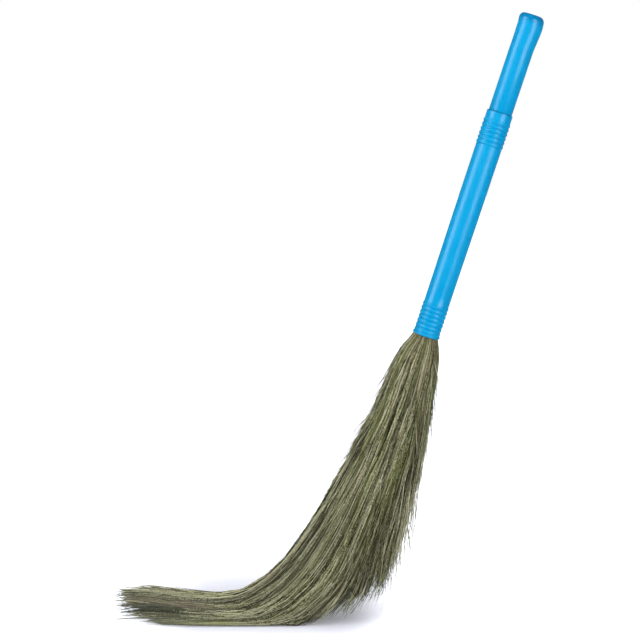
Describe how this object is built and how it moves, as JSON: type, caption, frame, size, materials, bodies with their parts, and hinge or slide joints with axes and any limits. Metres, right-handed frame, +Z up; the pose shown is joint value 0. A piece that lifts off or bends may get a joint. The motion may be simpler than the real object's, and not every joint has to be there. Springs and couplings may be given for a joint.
{
  "type": "grass broom",
  "caption": "Soft grass broom with a two-piece round plastic handle; the grass head fans out, bends on the floor and lies along it.",
  "frame": {"origin": "on the floor, under the middle of the whole broom's box", "axes": "+Z up from the floor; +X the way the handle leans; the grass tail lies towards -X; +Y across the broom, away from the picture's viewer"},
  "size_m": [0.593, 0.0901, 0.8559],
  "materials": {
    "azure_plastic": "satin gloss, moulded",
    "dry_grass": "dry, matt, fibrous",
    "tie_thread": "plain twisted thread",
    "binding_wire": "dull drawn wire",
    "wedge_wood": "split, raw"
  },
  "bodies": {
    "root": {"grip_tube": "azure_plastic", "sleeve": "azure_plastic", "hank_core": "dry_grass", "hank_1": "dry_grass", "hank_2": "dry_grass", "hank_3": "dry_grass", "hank_4": "dry_grass", "hank_5": "dry_grass", "hank_6": "dry_grass", "hank_7": "dry_grass", "tie_core": "tie_thread", "tie_1": "tie_thread", "tie_2": "tie_thread", "tie_3": "tie_thread", "tie_4": "tie_thread", "tie_5": "tie_thread", "tie_6": "tie_thread", "tie_7": "tie_thread", "binding_wire_low": "binding_wire", "binding_wire_mid": "binding_wire", "binding_wire_top": "binding_wire", "wedge": "wedge_wood"}
  },
  "joints": []
}
